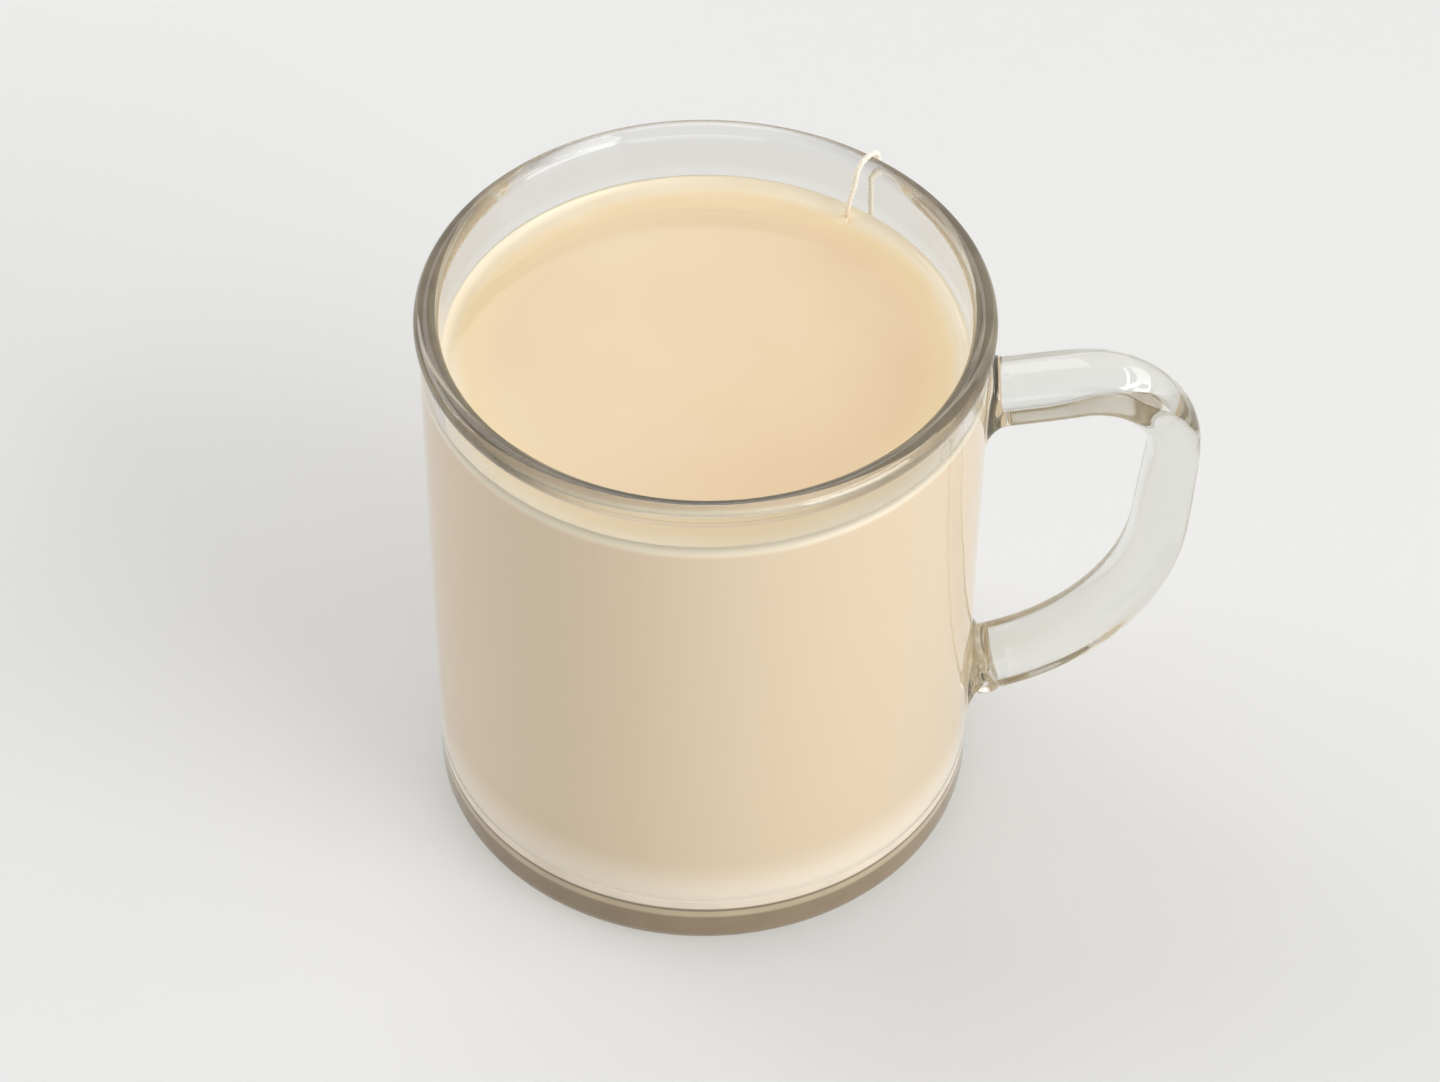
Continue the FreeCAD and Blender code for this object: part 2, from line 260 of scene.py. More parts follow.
@dataclass(frozen=True)
class ClearGlass(Finish):
    """Pressed soda glass: clear, slightly olive where it is thick, and softly wavy, with painted light and
    shade on its foot and rim bead.
    """

    NAME: ClassVar[str] = "clear_glass"
    tint: Colour = (0.985, 0.99, 0.98, 1.0)
    # Painted shade: the glass is tinted greyer above the drink's level.
    upper_shade_tint: Colour = (0.895, 0.895, 0.89, 1.0)
    upper_shade_heights: Point2 = (87.0 * MM, 89.0 * MM)
    ior: float = 1.5
    wave_cells: float = 70.0
    wave_height: float = 0.05 * MM
    smudge_cells: float = 45.0
    smudge_range: Point2 = (0.45, 0.8)
    smudge_roughness: float = 0.035
    uneven_cells: float = 120.0
    lamp_tint: Colour = (0.96, 0.96, 0.95, 1.0)
    depth_colour: Colour = (0.6, 0.59, 0.5, 1.0)
    depth_density: float = 26.0
    # Painted shade for rays that the wall has turned back many times.
    deep_ray_shade: Colour = srgb(198, 183, 156)
    deep_turns: Point2 = (2.0, 8.0)
    # Painted shade on the rim bead: its streaked dim olive colours, and where they go.
    bead_shade: Colour = srgb(130, 117, 95)
    bead_shade_darker: Colour = srgb(106, 94, 74)
    bead_shade_range: Point2 = (0.35, 0.65)
    bead_shade_roughness: float = 0.08
    bead_from: float = 93.0 * MM
    bead_middle: float = 94.75 * MM
    bead_radius: float = 41.4 * MM
    bead_edge: float = 0.6 * MM
    crest_radius: float = 39.9 * MM
    crest_half: float = 0.7 * MM
    whole_bead: Point2 = (8.0 * MM, -12.0 * MM)
    skim_range: Point2 = (0.2, 0.5)
    skim_share: float = 0.85
    along_range: Point2 = (0.85, 0.45)
    along_share: float = 0.82
    along_uneven: Point2 = (0.6, 0.7)
    head_on_range: Point2 = (0.05, 0.4)
    head_on_share: float = 0.35
    # Painted light and shade in the foot: its bands, from the bottom up.
    foot_light_and_shade: tuple[tuple[float, Colour], ...] = (
        (7.0 * MM, srgb(142, 124, 100)),
        (7.5 * MM, srgb(190, 173, 145)),
        (8.4 * MM, srgb(190, 173, 145)),
        (8.7 * MM, srgb(126, 112, 91)),
        (8.9 * MM, srgb(126, 112, 91)),
        (9.3 * MM, srgb(236, 222, 202)),
    )
    foot_scale: float = 10.0 * MM
    foot_top: float = 11.0 * MM
    foot_share: float = 0.88
    foot_uneven: float = 0.4
    foot_roughness: float = 0.1
    edge: float = 0.4 * MM

    def shade(self, g: Graph) -> dict[str, Wire]:
        """Adds the nodes, which let lamplight and soft light through unbent.

        Args:
            g: The material's tree.

        Returns:
            What goes into the output node, by socket.
        """
        height = g.spot("Z")
        smudges = g.ramp(g.clouds(self.smudge_cells, 4.0), *self.smudge_range)
        glass = g.principled(
            {
                # Painted shade: greyer glass above the drink's level.
                "Base Color": g.blend(g.ramp(height, *self.upper_shade_heights), self.tint, self.upper_shade_tint),
                "Roughness": smudges * self.smudge_roughness,
                "IOR": self.ior,
                "Transmission Weight": 1.0,
                "Normal": g.relief(g.clouds(self.wave_cells, 1.0), self.wave_height),
            }
        )
        uneven = g.clouds(self.uneven_cells, 1.0)
        # Painted light and shade on the foot and on the rim bead.
        shader = self._paint_foot(g, glass, height, uneven)
        shader = self._paint_bead_shade(g, shader, height, uneven)
        # Painted shade: what the wall has turned back many times comes out as dim olive too, a flat colour
        # lit through the wall that stands for the shaded foot.
        deep_ray_shade = g.node("ShaderNodeBsdfTranslucent", {}, {"Color": self.deep_ray_shade})
        shader = g.mixed(g.ramp(g.ray("Ray Depth"), *self.deep_turns), shader, deep_ray_shade)
        passing = g.node("ShaderNodeBsdfTransparent", {}, {"Color": self.lamp_tint})
        for ray in ("Is Diffuse Ray", "Is Shadow Ray"):
            shader = g.mixed(g.ray(ray), shader, passing)
        thickness = {"Color": self.depth_colour, "Density": self.depth_density}
        return {"Surface": shader, "Volume": g.node("ShaderNodeVolumeAbsorption", {}, thickness)}

    def _paint_foot(self, g: Graph, glass: Wire, height: Wire, uneven: Wire) -> Wire:
        """Paints light and shade on the thick foot, in bands: darker at the bottom, a tan band that stands
        for the drink's colour lit through the glass, a dark line and a pale band above.

        Args:
            g: The material's tree.
            glass: The glass elsewhere.
            height: The height, in metres.
            uneven: Soft noise.

        Returns:
            The glass with its foot.
        """
        stops = [(level / self.foot_scale, colour) for level, colour in self.foot_light_and_shade]
        painted_bands = g.node("ShaderNodeValToRGB", {"stops": stops}, {0: height / self.foot_scale})
        painted_foot = g.principled({"Base Color": painted_bands, "Roughness": self.foot_roughness})
        share = (uneven - 0.5) * self.foot_uneven + self.foot_share
        low = g.ramp(height, self.foot_top + self.edge, self.foot_top - self.edge)
        return g.mixed(low * share, glass, painted_foot)

    def _paint_bead_shade(self, g: Graph, glass: Wire, height: Wire, uneven: Wire) -> Wire:
        """Paints shade on the rim bead where light skims its edge or runs along it: streaked dim olive that
        stands for the dark surroundings real glass shows there.

        Args:
            g: The material's tree.
            glass: The glass elsewhere.
            height: The height, in metres.
            uneven: Soft noise.

        Returns:
            The glass with its bead.
        """
        facing = g.facing()
        outside = g.ramp(g.off_axis(), self.bead_radius, self.bead_radius + self.bead_edge)
        upper = g.ramp(height, self.bead_middle - self.edge, self.bead_middle + self.edge)
        skimmed = g.ramp(facing, *self.skim_range) * outside * upper * self.skim_share
        ring = g.vector("NORMALIZE", g.vector("CROSS_PRODUCT", (0, 0, 1), g.place()))
        along = g.ramp(g.facing({"Normal": ring}), *self.along_range) * self.along_share
        spread, least = self.along_uneven
        turned = g.ramp(facing, *self.head_on_range) * (1 - self.head_on_share) + self.head_on_share
        along = along * (uneven * spread + least) * turned
        crest = g.ramp(g.off_axis(), self.crest_radius - self.crest_half, self.crest_radius + self.crest_half)
        along = along * crest.at_least(g.ramp(g.spot("Y"), *self.whole_bead))
        # Painted shade: streaked dim olive mixed into the bead's skimmed edge and sides.
        shade_streaks = g.blend(g.ramp(uneven, *self.bead_shade_range), self.bead_shade, self.bead_shade_darker)
        bead_shade = g.principled({"Base Color": shade_streaks, "Roughness": self.bead_shade_roughness})
        bead = g.ramp(height, self.bead_from, self.bead_from + MM)
        return g.mixed(skimmed.at_least(along) * bead, glass, bead_shade)


@dataclass(frozen=True)
class MilkyTea(Finish):
    """Tea with milk: opaque and pale, with a painted highlight that is yellower by the glass and creamy where
    it is a thin film, painted shade towards the front right, and painted light on its side.
    """

    NAME: ClassVar[str] = "milky_tea"
    middle: Colour = srgb(229, 203, 167)
    cloud: Colour = srgb(232, 208, 172)
    # Painted shade: darker, oranger colour towards the front right.
    warm_shade: Colour = srgb(222, 192, 151)
    # Painted highlight: a lighter, yellower ring and a creamy film by the glass.
    edge: Colour = srgb(236, 211, 167)
    film_highlight: Colour = srgb(243, 231, 207)
    # Painted light: the drink's side gets a paler colour of its own, lightening towards the bottom.
    side: Colour = srgb(228, 206, 178)
    foot: Colour = srgb(249, 237, 221)
    cloud_cells: float = 30.0
    cloud_range: Point2 = (0.35, 0.65)
    warm_shade_share: float = 0.8
    warm_shade_range: Point2 = (-10.0 * MM, 42.0 * MM)
    drift_way: Point2 = (0.8, 0.6)
    drift_cells: float = 38.0
    drift_size: float = 60.0 * MM
    edge_highlight_from: float = 0.78
    film_highlight_cells: float = 55.0
    film_highlight_drift: float = 3.5 * MM
    film_highlight_width: float = 2.6 * MM
    film_highlight_past_wall: float = 0.4 * MM
    foot_light_range: Point2 = (19.0 * MM, 8.0 * MM)
    flat_radius: float = 37.6 * MM
    wall_radius: float = 39.1 * MM
    level: float = 86.3 * MM
    side_ease: float = 1.5 * MM
    gloss_cells: float = 60.0
    gloss_range: Point2 = (0.3, 0.8)
    roughness: float = 0.1
    rougher: float = 0.06
    ripple_cells: float = 160.0
    ripple_height: float = 0.015 * MM
    ior: float = 1.34
    glass_ior: float = 1.5

    def shade(self, g: Graph) -> dict[str, Wire]:
        """Adds the nodes.

        Args:
            g: The material's tree.

        Returns:
            What goes into the output node, by socket.
        """
        radius, height = g.off_axis(), g.spot("Z")
        clouds = g.ramp(g.clouds(self.cloud_cells, 2.0), *self.cloud_range)
        colour = g.blend(clouds, self.middle, self.cloud)
        # Painted shade: the drink is darker and oranger towards the front right.
        shade_drift = g.spot("X") * self.drift_way[0] - g.spot("Y") * self.drift_way[1]
        shade_drift = shade_drift + (g.clouds(self.drift_cells) - 0.5) * self.drift_size
        colour = g.blend(g.ramp(shade_drift, *self.warm_shade_range) * self.warm_shade_share, colour, self.warm_shade)
        # Painted highlight: yellower towards the glass, then creamy at the meniscus.
        edge_highlight = g.ramp(radius, self.edge_highlight_from * self.flat_radius, self.flat_radius)
        colour = g.blend(edge_highlight, colour, self.edge)
        uneven = radius + (g.clouds(self.film_highlight_cells, 2.0) - 0.5) * self.film_highlight_drift
        film_highlight = g.ramp(uneven, self.flat_radius - self.film_highlight_width, self.wall_radius + self.film_highlight_past_wall)
        colour = g.blend(film_highlight, colour, self.film_highlight)
        # Painted light: a paler side, lighter towards the bottom, standing for light carried in through the
        # thick foot.
        side = g.blend(g.ramp(height, *self.foot_light_range), self.side, self.foot)
        colour = g.blend(g.ramp(height, self.level, self.level - self.side_ease), colour, side)
        tea = g.principled(
            {
                "Base Color": colour,
                "Roughness": g.ramp(g.clouds(self.gloss_cells), *self.gloss_range) * self.rougher
                + self.roughness,
                "IOR": self.ior,
                "Normal": g.relief(g.clouds(self.ripple_cells, 2.0), self.ripple_height),
            }
        )
        # Inside the glass a steep ray is turned back before it reaches the drink.
        mirror = g.node("ShaderNodeBsdfAnisotropic", {}, {"Color": (1, 1, 1, 1), "Roughness": 0.0})
        steep = 1 - math.sqrt(1 - (self.ior / self.glass_ior) ** 2)
        against_glass = g.ramp(height, self.level - 0.1 * MM, self.level - 0.5 * MM)
        turned_back = g.ramp(g.facing(), steep - 0.03, steep + 0.01) * against_glass
        return {"Surface": g.mixed(turned_back, tea, mirror)}


@dataclass(frozen=True)
class TwistedCotton(Finish):
    """Soft undyed cotton, stained by the tea where it comes out of the drink."""

    NAME: ClassVar[str] = "twisted_cotton"
    fibre: Colour = srgb(248, 243, 231)
    # Painted shade: the colour in the hollows between fibres.
    hollow: Colour = srgb(230, 218, 196)
    stain: Colour = srgb(232, 208, 170)
    stain_share: float = 0.8
    wet_heights: Point2 = (90.0 * MM, 86.5 * MM)
    wet_radii: Point2 = (40.5 * MM, 38.5 * MM)
    strand_cells: float = 2600.0
    strand_range: Point2 = (0.25, 0.6)
    strand_relief: float = 0.05 * MM
    roughness: float = 0.85
    wet_gloss: float = 0.35
    sheen: float = 0.3

    def shade(self, g: Graph) -> dict[str, Wire]:
        """Adds the nodes.

        Args:
            g: The material's tree.

        Returns:
            What goes into the output node, by socket.
        """
        strand = g.clouds(self.strand_cells, 3.0, 0.7)
        # Painted shade: darker where the strand bump is low, in the hollows between fibres.
        colour = g.blend(g.ramp(strand, *self.strand_range), self.hollow, self.fibre)
        wet = g.ramp(g.spot("Z"), *self.wet_heights) * g.ramp(g.off_axis(), *self.wet_radii)
        cotton = g.principled(
            {
                "Base Color": g.blend(wet * self.stain_share, colour, self.stain),
                "Roughness": self.roughness - wet * self.wet_gloss,
                "Sheen Weight": self.sheen,
                "Normal": g.relief(strand, self.strand_relief),
            }
        )
        return {"Surface": cotton}


@dataclass(frozen=True)
class PlainCard(Finish):
    """Uncoated off-white card with a faint grain of fibres."""

    NAME: ClassVar[str] = "plain_card"
    face: Colour = srgb(243, 240, 231)
    fleck: Colour = srgb(222, 214, 197)
    fleck_share: float = 0.7
    grain_cells: float = 1500.0
    grain_range: Point2 = (0.55, 0.8)
    grain_relief: float = 0.03 * MM
    roughness: float = 0.78
    rougher: float = 0.15

    def shade(self, g: Graph) -> dict[str, Wire]:
        """Adds the nodes.

        Args:
            g: The material's tree.

        Returns:
            What goes into the output node, by socket.
        """
        grain = g.clouds(self.grain_cells, 5.0, 0.65)
        flecks = g.ramp(grain, *self.grain_range) * self.fleck_share
        card = g.principled(
            {
                "Base Color": g.blend(flecks, self.face, self.fleck),
                "Roughness": self.roughness + grain * self.rougher,
                "Normal": g.relief(grain, self.grain_relief),
            }
        )
        return {"Surface": card}


@dataclass(frozen=True)
class PaleFloor(Finish):
    """A plain matt floor."""

    NAME: ClassVar[str] = "pale_floor"
    colour: Colour = srgb(229, 229, 228)
    roughness: float = 0.9

    def shade(self, g: Graph) -> dict[str, Wire]:
        """Adds the nodes; see Finish.shade."""
        return {"Surface": g.principled({"Base Color": self.colour, "Roughness": self.roughness})}


# ---- Meshes ---------------------------------------------------------------


def mesh_object(
    name: str, points: Sequence[Sequence[float]], faces: Sequence[Sequence[int]], material: bpy.types.Material
) -> bpy.types.Object:
    """Makes a smooth closed mesh whose faces point outwards.

    Args:
        name: The piece's name.
        points: Its vertices, in metres.
        faces: The vertices of each face.
        material: Its finish.

    Returns:
        The piece, linked to the scene.
    """
    mesh = bpy.data.meshes.new(name)
    mesh.from_pydata([tuple(point) for point in points], [], [tuple(face) for face in faces])
    work = bmesh.new()
    work.from_mesh(mesh)
    bmesh.ops.recalc_face_normals(work, faces=work.faces)
    work.to_mesh(mesh)
    work.free()
    mesh.shade_smooth()
    mesh.materials.append(material)
    return linked(name, mesh)


def linked(name: str, data: bpy.types.ID) -> bpy.types.Object:
    """Puts a new object into the scene.

    Args:
        name: Its name.
        data: What it shows.

    Returns:
        The object.
    """
    thing = bpy.data.objects.new(name, data)
    bpy.context.scene.collection.objects.link(thing)
    return thing


def arc(centre: Point2, radius: float, start_deg: float, end_deg: float, steps: int) -> list[Point2]:
    """Points on an arc of a turned profile, both ends included; 0 points outwards, 90 upwards."""
    angles = [math.radians(start_deg + (end_deg - start_deg) * i / steps) for i in range(steps + 1)]
    return [(centre[0] + radius * math.cos(a), centre[1] + radius * math.sin(a)) for a in angles]


def run(first: Point2, last: Point2, steps: int) -> list[Point2]:
    """Points on a straight line between two points, neither of them included."""
    wide, tall = last[0] - first[0], last[1] - first[1]
    return [(first[0] + wide * i / steps, first[1] + tall * i / steps) for i in range(1, steps)]


class TurnedMesh:
    """A grid of points turned about the axis, with the axis itself as two poles."""

    def __init__(self, profile: Sequence[Point2], columns: int) -> None:
        """Lays out the grid.

        Args:
            profile: Radius and height of each row, from pole to pole.
            columns: How many points each row has.
        """
        self.profile = list(profile)
        self.columns = columns
        self.points: list[Vector] = []
        self.faces: list[tuple[int, ...]] = []
        self._index: dict[tuple[int, int], int] = {}

    def point(self, row: int, column: int) -> int:
        """Finds a point of the grid, which is made when first asked for.

        Args:
            row: Its row.
            column: Its column, counted round and round.

        Returns:
            The point's number.
        """
        radius, height = self.profile[row]
        pole = row in (0, len(self.profile) - 1)
        key = (row, 0 if pole else column % self.columns)
        if key not in self._index:
            angle = math.tau * key[1] / self.columns
            place = Vector((radius * math.cos(angle), radius * math.sin(angle), height))
            self._index[key] = self.add([place])[0]
        return self._index[key]

    def add(self, ring: Sequence[Vector]) -> list[int]:
        """Adds points that belong to no row.

        Args:
            ring: The points.

        Returns:
            Their numbers.
        """
        start = len(self.points)
        self.points.extend(ring)
        return list(range(start, len(self.points)))

    def bridge(self, one: Sequence[int], two: Sequence[int]) -> None:
        """Joins two closed rings with a band of faces.

        Args:
            one: The numbers of the first ring's points.
            two: As many numbers for the second ring.
        """
        for i in range(len(one)):
            j = (i + 1) % len(one)
            self.faces.append((one[i], one[j], two[j], two[i]))

    def skin(self, skip: Callable[[int, int], bool] = lambda row, column: False) -> None:
        """Fills the grid with faces.

        Args:
            skip: Says whether the face between a row and the next, and a column
                and the next, is left out.
        """
        for row in range(len(self.profile) - 1):
            for column in range(self.columns):
                if skip(row, column):
                    continue
                corners = [
                    self.point(row, column),
                    self.point(row, column + 1),
                    self.point(row + 1, column + 1),
                    self.point(row + 1, column),
                ]
                self.faces.append(tuple(dict.fromkeys(corners)))


# ---- The mug --------------------------------------------------------------


@dataclass
class CupShape:
    """The sizes of the cup, the same as in the construction."""

    height: float = 96.6 * MM
    wall_radius_top: float = 42.3 * MM
    wall_radius_base: float = 41.95 * MM
    wall_top: float = 3.1 * MM
    wall_base: float = 3.5 * MM
    rim_proud: float = 0.6 * MM
    rim_blend_radius: float = 1.2 * MM
    floor_thickness: float = 6.0 * MM
    floor_corner_radius: float = 5.0 * MM
    heel_radius: float = 4.0 * MM
    foot_ring_width: float = 6.0 * MM
    punt_depth: float = 1.4 * MM
    punt_slope_width: float = 3.0 * MM
    punt_rounding_radius: float = 2.0 * MM

    @property
    def rim_half(self) -> float:
        """Half the rim bead's thickness."""
        return (self.wall_top + self.rim_proud) / 2

    @property
    def rim_centre(self) -> Point2:
        """The middle of the rim bead, as a radius and a height."""
        return (self.wall_radius_top + self.rim_proud - self.rim_half, self.height - self.rim_half)

    @property
    def floor_corner(self) -> Point2:
        """The centre of the arc between the floor and the inside wall."""
        radius = self.wall_radius_base - self.wall_base - self.floor_corner_radius
        return (radius, self.floor_thickness + self.floor_corner_radius)

    def inside_radius(self, height: float) -> float:
        """Radius of the inside wall at a height above the floor's corner."""
        base = self.wall_radius_base - self.wall_base
        return self._slant(height, self.floor_corner[1], base, self.wall_radius_top - self.wall_top)

    def outside_radius(self, height: float) -> float:
        """Radius of the outside wall at a height above the heel."""
        return self._slant(height, self.heel_radius, self.wall_radius_base, self.wall_radius_top)

    def _slant(self, height: float, low: float, base: float, top: float) -> float:
        """Radius at a height, on a line from base, at the height low, to top at the rim's centre."""
        share = (height - low) / (self.rim_centre[1] - low)
        return base + share * (top - base)


@dataclass
class HandleShape:
    """The sizes of the handle, the same as in the construction."""

    upper_root_drop: float = 17.1 * MM
    upper_arm_rise_deg: float = 9.5
    grip_reach: float = 28.5 * MM
    grip_lean_deg: float = 3.7
    upper_bend_radius: float = 13.0 * MM
    lower_bend_radius: float = 36.0 * MM
    lower_root_height: float = 20.6 * MM
    lower_arm_slope_deg: float = 12.0
    width: float = 10.4 * MM
    upper_root_thickness: float = 9.2 * MM
    upper_bend_thickness: float = 7.4 * MM
    grip_thickness: float = 8.7 * MM
    lower_root_thickness: float = 9.2 * MM
    outer_power: float = 2.2
    inner_power: float = 3.0
    arm_taper_share: float = 0.4

    def section(self, direction: Point2, thickness: float) -> Point2:
        """Where a ray from the middle of the handle meets its surface.

        Args:
            direction: The ray, as its parts away from the cup and across.
            thickness: How thick the handle is there.

        Returns:
            The point, as its distances away from the cup and across.
        """
        out, across = direction
        power = self.outer_power if out >= 0 else self.inner_power
        reach = (abs(2 * out / thickness) ** power + abs(2 * across / self.width) ** power) ** (-1 / power)
        return (out * reach, across * reach)


class HandlePath:
    """The handle's middle line: straight runs joined by arcs, in the plane of X and Z."""

    def __init__(self, corners: Sequence[Vector], radii: Sequence[float]) -> None:
        """Rounds the corners.

        Args:
            corners: The start, the corners and the end.
            radii: The radius of the arc at each corner.
        """
        self.pieces: list[tuple[float, Callable[[float], tuple[Vector, Vector]]]] = []
        start = corners[0]
        for before, corner, after, radius in zip(corners, corners[1:], corners[2:], radii):
            back = (before - corner).normalized()
            ahead = (after - corner).normalized()
            half = back.angle(ahead) / 2
            reach = radius / math.tan(half)
            centre = corner + (back + ahead).normalized() * radius / math.sin(half)
            self._straight(start, corner + back * reach)
            self._bend(centre, corner + back * reach - centre, -back, radius, math.pi - 2 * half)
            start = corner + ahead * reach
        self._straight(start, corners[-1])

    @property
    def length(self) -> float:
        """The whole length."""
        return sum(length for length, _ in self.pieces)

    def _straight(self, start: Vector, end: Vector) -> None:
        """Adds a straight run."""
        tangent = (end - start).normalized()
        self.pieces.append(((end - start).length, lambda s: (start + tangent * s, tangent)))

    def _bend(self, centre: Vector, spoke: Vector, heading: Vector, radius: float, turn: float) -> None:
        """Adds an arc.

        Args:
            centre: Its centre.
            spoke: From the centre to the arc's start.
            heading: The direction in which it starts.
            radius: Its radius.
            turn: How far it turns, in radians.
        """

        def at(s: float) -> tuple[Vector, Vector]:
            """Point and tangent, that far along the arc."""
            cos, sin = math.cos(s / radius), math.sin(s / radius)
            return centre + spoke * cos + heading * radius * sin, heading * cos - spoke.normalized() * sin

        self.pieces.append((radius * turn, at))

    def at(self, distance: float) -> tuple[Vector, Vector]:
        """Finds a place on the path.

        Args:
            distance: How far from the start.

        Returns:
            The point and the tangent there.
        """
        for length, piece in self.pieces[:-1]:
            if distance <= length:
                return piece(distance)
            distance -= length
        return self.pieces[-1][1](distance)


@dataclass
class GlassMug:
    """The cup and its handle, one closed skin of glass."""

    cup: CupShape = field(default_factory=CupShape)
    handle: HandleShape = field(default_factory=HandleShape)
    finish: ClearGlass = field(default_factory=ClearGlass)
    columns: int = 240
    punt_rows: int = 8
    rounding_rows: int = 3
    ring_rows: int = 5
    heel_rows: int = 12
    wall_rows: int = 80
    blend_rows: int = 6
    bead_rows: int = 30
    inside_rows: int = 24
    floor_rows: int = 12
    handle_rings: int = 110
    root_rings: int = 12
    hole_columns: int = 6
    hole_rows: int = 6
    root_stand_off: float = 2.6 * MM
    root_fullness: float = 1.15
    wave_height: float = 0.035 * MM
    wave_length: float = 14.0 * MM
    wave_margin: float = 0.5 * MM
    ripple_share: float = 0.4
    ripples_to_wave: float = 2.7

    def profile(self) -> list[Point2]:
        """The turned profile, from the middle of the underside round to the middle of the floor.

        Returns:
            Radius and height of each row.
        """
        c = self.cup
        foot_outer = c.wall_radius_base - c.heel_radius
        foot_inner = foot_outer - c.foot_ring_width
        punt = foot_inner - c.punt_slope_width
        slope_deg = math.degrees(math.atan2(c.punt_depth, c.punt_slope_width))
        rounding = c.punt_rounding_radius
        set_in = rounding * math.tan(math.radians(slope_deg) / 2)
        blend_radius = c.wall_radius_top + c.rim_blend_radius
        out = blend_radius - c.rim_centre[0]
        down = math.sqrt((c.rim_half + c.rim_blend_radius) ** 2 - out**2)
        blend_height = c.rim_centre[1] - down
        bead_deg = math.degrees(math.atan2(down, out))
        hollow, ring = (punt - set_in, c.punt_depth), (foot_inner + set_in, 0.0)
        rows = [(0.0, c.punt_depth)]
        rows += run(rows[0], hollow, self.punt_rows)
        rows += arc((hollow[0], c.punt_depth - rounding), rounding, 90, 90 - slope_deg, self.rounding_rows)
        rows += arc((ring[0], rounding), rounding, -90 - slope_deg, -90, self.rounding_rows)
        rows += run(ring, (foot_outer, 0.0), self.ring_rows)
        rows += arc((foot_outer, c.heel_radius), c.heel_radius, -90, 0, self.heel_rows)
        rows += run((c.wall_radius_base, c.heel_radius), (c.wall_radius_top, blend_height), self.wall_rows)
        rows += arc((blend_radius, blend_height), c.rim_blend_radius, 180, 180 - bead_deg, self.blend_rows)
        rows += arc(c.rim_centre, c.rim_half, -bead_deg, 180, self.bead_rows)[1:]
        low = (c.inside_radius(c.floor_corner[1]), c.floor_corner[1])
        rows += run(rows[-1], low, self.inside_rows)
        rows += arc(c.floor_corner, c.floor_corner_radius, 0, -90, self.floor_rows)
        rows += run((c.floor_corner[0], c.floor_thickness), (0.0, c.floor_thickness), self.floor_rows)
        return rows + [(0.0, c.floor_thickness)]

    def path(self) -> HandlePath:
        """The handle's middle line, from the outside of the wall to the wall again.

        Returns:
            The path, which starts and ends a stand-off away from the wall.
        """
        c, h = self.cup, self.handle
        upper = Vector((c.outside_radius(c.height - h.upper_root_drop), 0, c.height - h.upper_root_drop))
        lower = Vector((c.outside_radius(h.lower_root_height), 0, h.lower_root_height))
        grip = Vector((upper.x + h.grip_reach, 0, upper.z - h.upper_bend_radius))

        def heading(angle_deg: float) -> Vector:
            """A direction in the handle's plane."""
            a = math.radians(angle_deg)
            return Vector((math.cos(a), 0, math.sin(a)))

        def crossing(a: Vector, along_a: Vector, b: Vector, along_b: Vector) -> Vector:
            """Where two lines in the handle's plane cross."""
            apart = (b.x - a.x) * along_b.z - (b.z - a.z) * along_b.x
            return a + along_a * (apart / (along_a.x * along_b.z - along_a.z * along_b.x))

        rise, lean = heading(h.upper_arm_rise_deg), heading(-90 - h.grip_lean_deg)
        slope = heading(h.lower_arm_slope_deg)
        corners = [
            upper + rise * self.root_stand_off,
            crossing(upper, rise, grip, lean),
            crossing(grip, lean, lower, slope),
            lower + slope * self.root_stand_off,
        ]
        return HandlePath(corners, [h.upper_bend_radius, h.lower_bend_radius])

    def thickness(self, path: HandlePath, distance: float) -> float:
        """The handle's thickness at a distance along its middle line.

        Args:
            path: The middle line.
            distance: How far along it.

        Returns:
            The thickness.
        """
        h = self.handle
        lengths = [length for length, _ in path.pieces]
        stations = [
            (lengths[0] * h.arm_taper_share, h.upper_root_thickness),
            (lengths[0] + lengths[1] / 2, h.upper_bend_thickness),
            (sum(lengths[:3]), h.grip_thickness),
            (path.length - lengths[4] * h.arm_taper_share, h.lower_root_thickness),
        ]
        if distance <= stations[0][0]:
            return stations[0][1]
        for (start, first), (end, second) in zip(stations, stations[1:]):
            if distance <= end:
                share = (distance - start) / (end - start)
                return first + (second - first) * (1 - math.cos(math.pi * share)) / 2
        return stations[-1][1]

    def opening(self, rows: Sequence[Point2], root: Root) -> tuple[int, list[tuple[int, int]]]:
        """The hole in the wall's grid where the handle is joined on.

        Args:
            rows: The turned profile.
            root: Which end of the handle.

        Returns:
            The hole's middle row, and the rows and columns round its edge, from
            the side away from the cup's middle towards +Y and round.
        """
        c, h = self.cup, self.handle
        height = c.height - h.upper_root_drop if root is Root.UPPER else h.lower_root_height
        wall = [i for i, (r, z) in enumerate(rows) if r > c.wall_radius_base - MM and z < c.rim_centre[1]]
        middle = min(wall, key=lambda i: abs(rows[i][1] - height))
        across, along = self.hole_columns, self.hole_rows
        edge = [(along, k) for k in range(0, across)]
        edge += [(k, across) for k in range(along, -along, -1)]
        edge += [(-along, k) for k in range(across, -across, -1)]
        edge += [(k, -across) for k in range(-along, along)]
        edge += [(along, k) for k in range(-across, 0)]
        return middle, [(middle + root.value * step, column) for step, column in edge]

    def build(self) -> bpy.types.Object:
        """Builds the piece.

        Returns:
            The finished piece.
        """
        rows = self.profile()
        grid = TurnedMesh(rows, self.columns)
        holes = {root: self.opening(rows, root) for root in Root}

        across, along = self.hole_columns, self.hole_rows
        middles = [middle for middle, _ in holes.values()]

        def in_hole(row: int, column: int) -> bool:
            """Whether a face of the grid lies inside one of the holes."""
            side = column if column < self.columns / 2 else column - self.columns
            return -across <= side < across and any(-along <= row - middle < along for middle in middles)

